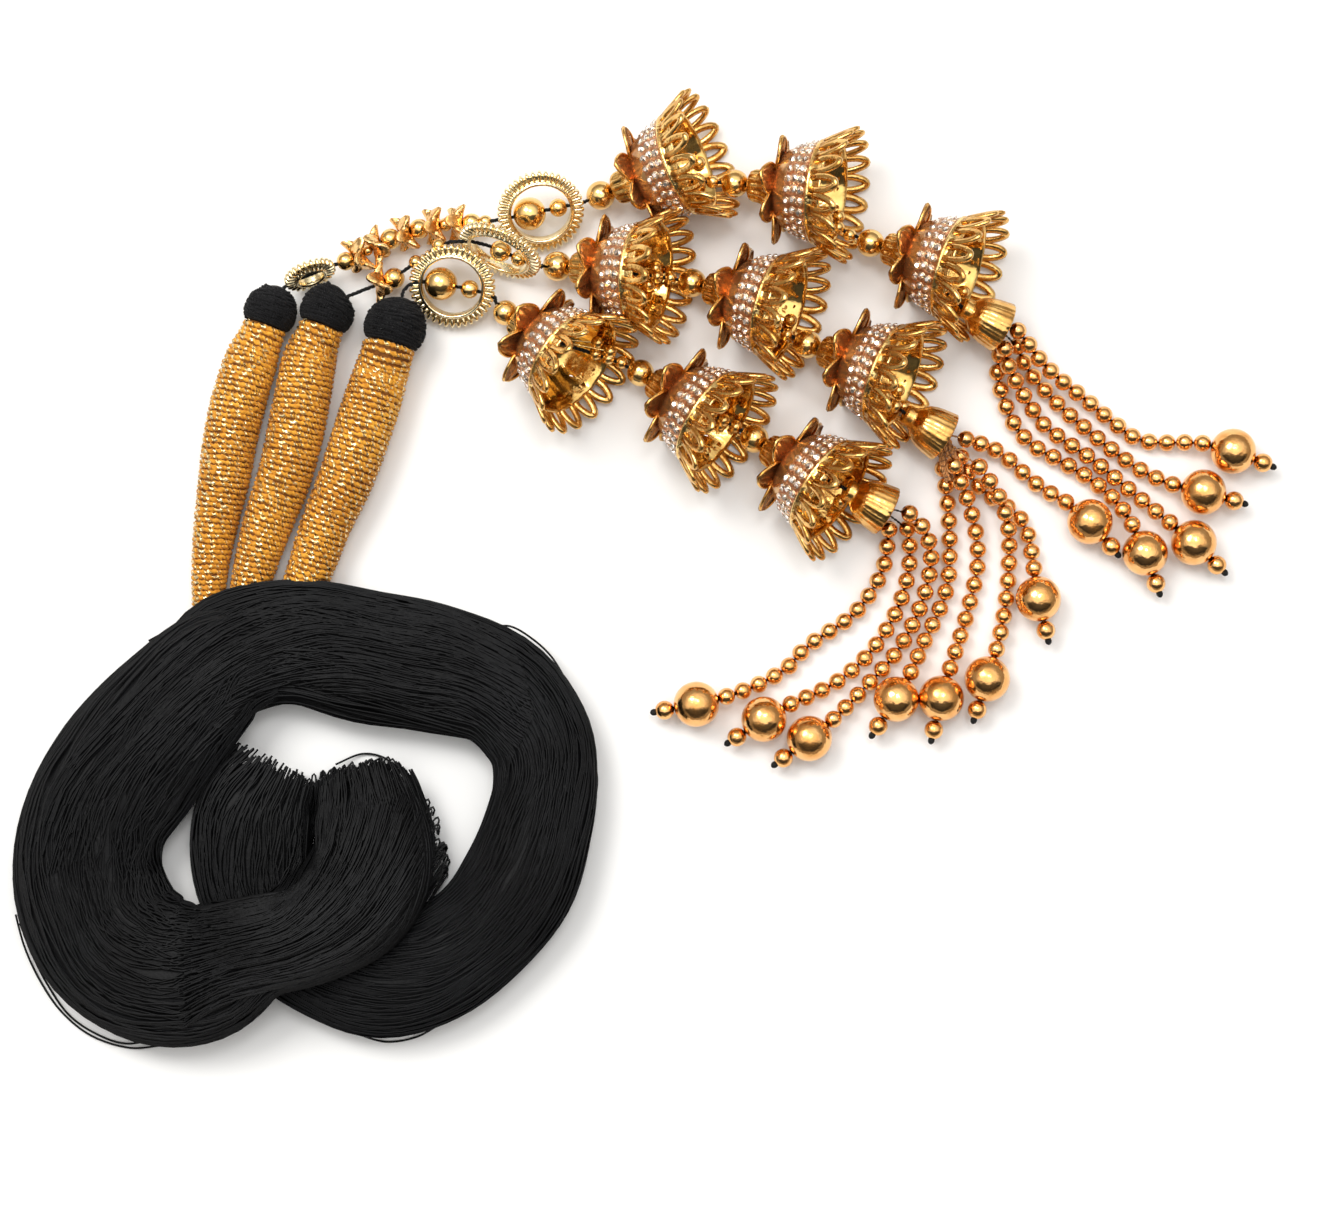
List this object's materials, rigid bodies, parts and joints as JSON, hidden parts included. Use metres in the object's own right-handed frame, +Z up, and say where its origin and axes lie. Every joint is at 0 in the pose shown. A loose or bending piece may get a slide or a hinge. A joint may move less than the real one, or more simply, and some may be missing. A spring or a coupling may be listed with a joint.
{
  "type": "hair tassel",
  "caption": "Hair tassel with a looped thread hank, wound stems with knobs, and strings of ribbed rings, flower spacers, open bells and bead tassels.",
  "frame": {"origin": "on the surface below the middle of the bounding box", "axes": "+X from the hank towards the bead tassels, +Y from the hank towards the bells, +Z up from the surface"},
  "size_m": [0.2946, 0.2226, 0.0309],
  "materials": {
    "black_thread": "soft sheen",
    "ochre_thread": "silky wound thread",
    "black_yarn": "matte",
    "black_cord": "matte",
    "pale_gold": "polished",
    "gold": "polished",
    "orange_gold": "cast",
    "copper_gold": "polished"
  },
  "bodies": {
    "root": {"hank": "black_thread", "stem_1": "ochre_thread", "stem_2": "ochre_thread", "stem_3": "ochre_thread", "knob_1": "black_yarn", "knob_2": "black_yarn", "knob_3": "black_yarn", "cord_1": "black_cord", "cord_2": "black_cord", "cord_3": "black_cord", "ring_1": "pale_gold", "ring_2": "pale_gold", "ring_3": "pale_gold", "small_ring_1": "pale_gold", "flowers_1": "orange_gold", "flowers_2": "orange_gold", "spacers_1": "gold", "spacers_2": "gold", "spacers_3": "gold", "bell_1_1": "gold", "bell_1_2": "gold", "bell_1_3": "gold", "bell_2_1": "gold", "bell_2_2": "gold", "bell_2_3": "gold", "bell_3_1": "gold", "bell_3_2": "gold", "bell_3_3": "gold", "end_cap_1": "gold", "end_cap_2": "gold", "end_cap_3": "gold", "threads_1": "black_cord", "threads_2": "black_cord", "threads_3": "black_cord", "beads_1_1": "copper_gold", "beads_1_2": "copper_gold", "beads_1_3": "copper_gold", "beads_1_4": "copper_gold", "beads_2_1": "copper_gold", "beads_2_2": "copper_gold", "beads_2_3": "copper_gold", "beads_2_4": "copper_gold", "beads_2_5": "copper_gold", "beads_3_1": "copper_gold", "beads_3_2": "copper_gold", "beads_3_3": "copper_gold"}
  },
  "joints": []
}
